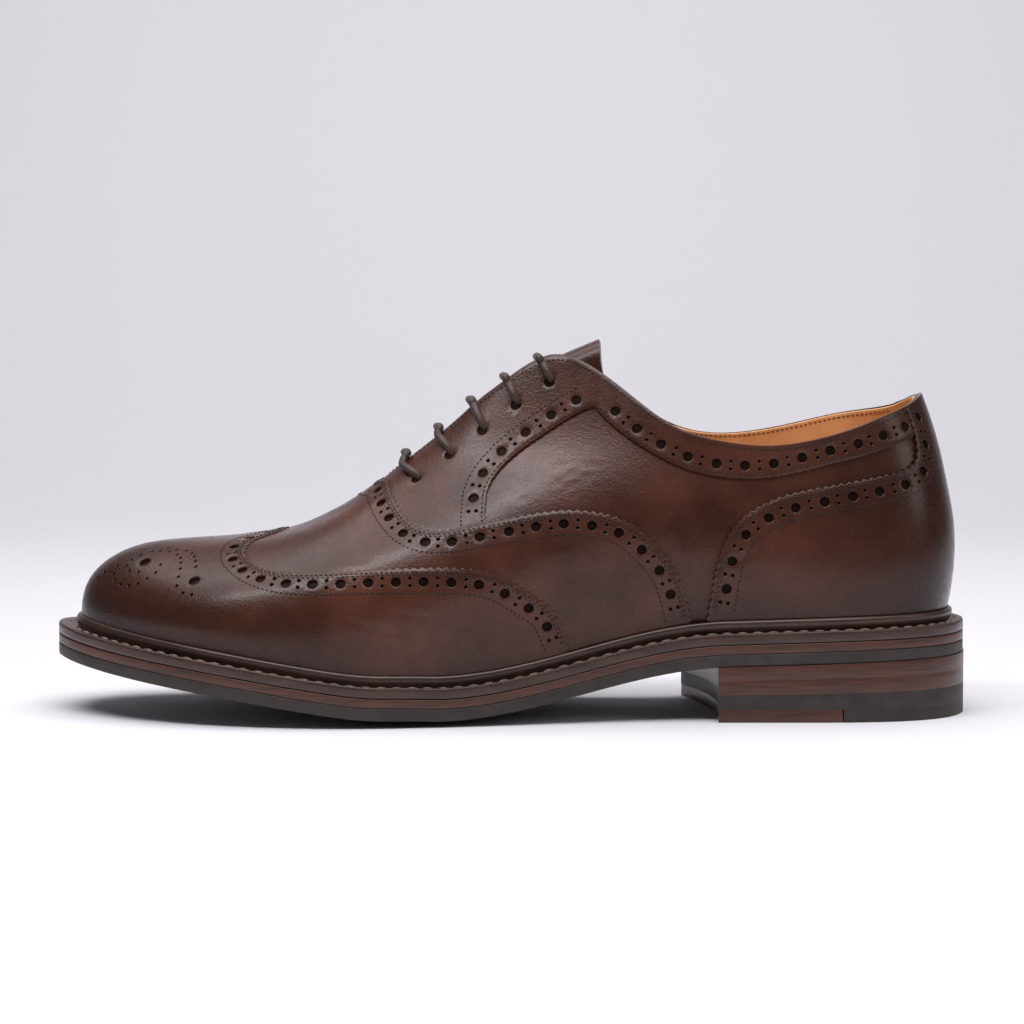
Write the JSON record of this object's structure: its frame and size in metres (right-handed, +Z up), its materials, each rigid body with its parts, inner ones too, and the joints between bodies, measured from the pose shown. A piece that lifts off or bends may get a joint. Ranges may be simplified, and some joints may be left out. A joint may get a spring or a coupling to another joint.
{
  "type": "wingtip oxford shoe",
  "caption": "Lace-up leather dress shoe for the left foot with a punched wing toe cap, storm welt, double sole and stacked heel.",
  "frame": {"origin": "middle of the shoe's box, on the ground plane", "axes": "+X from the toe towards the heel, -Y the outer side of the left foot, +Z up"},
  "size_m": [0.3044, 0.1036, 0.1224],
  "materials": {
    "brown_leather": "polished calf, burnished darker at toe and heel",
    "dark_leather": "dark brown waxed welt leather",
    "tan_lining": "smooth tan lining leather",
    "stacked_leather": "edge-dyed stacked sole leather",
    "dark_rubber": "matt dark rubber",
    "waxed_cord": "round waxed cotton lace"
  },
  "bodies": {
    "root": {"upper": "brown_leather", "toe_cap": "brown_leather", "vamp": "brown_leather", "facing_outer": "brown_leather", "facing_inner": "brown_leather", "counter": "brown_leather", "tongue": "brown_leather", "insole": "tan_lining", "welt": "dark_leather", "midsole": "stacked_leather", "outsole": "dark_rubber", "heel_lift_upper": "stacked_leather", "heel_lift_lower": "stacked_leather", "heel_pad": "dark_rubber", "top_piece": "dark_rubber", "top_piece_front": "stacked_leather", "lace_bar_1": "waxed_cord", "lace_bar_2": "waxed_cord", "lace_bar_3": "waxed_cord", "lace_bar_4": "waxed_cord", "lace_bar_5": "waxed_cord"}
  },
  "joints": []
}
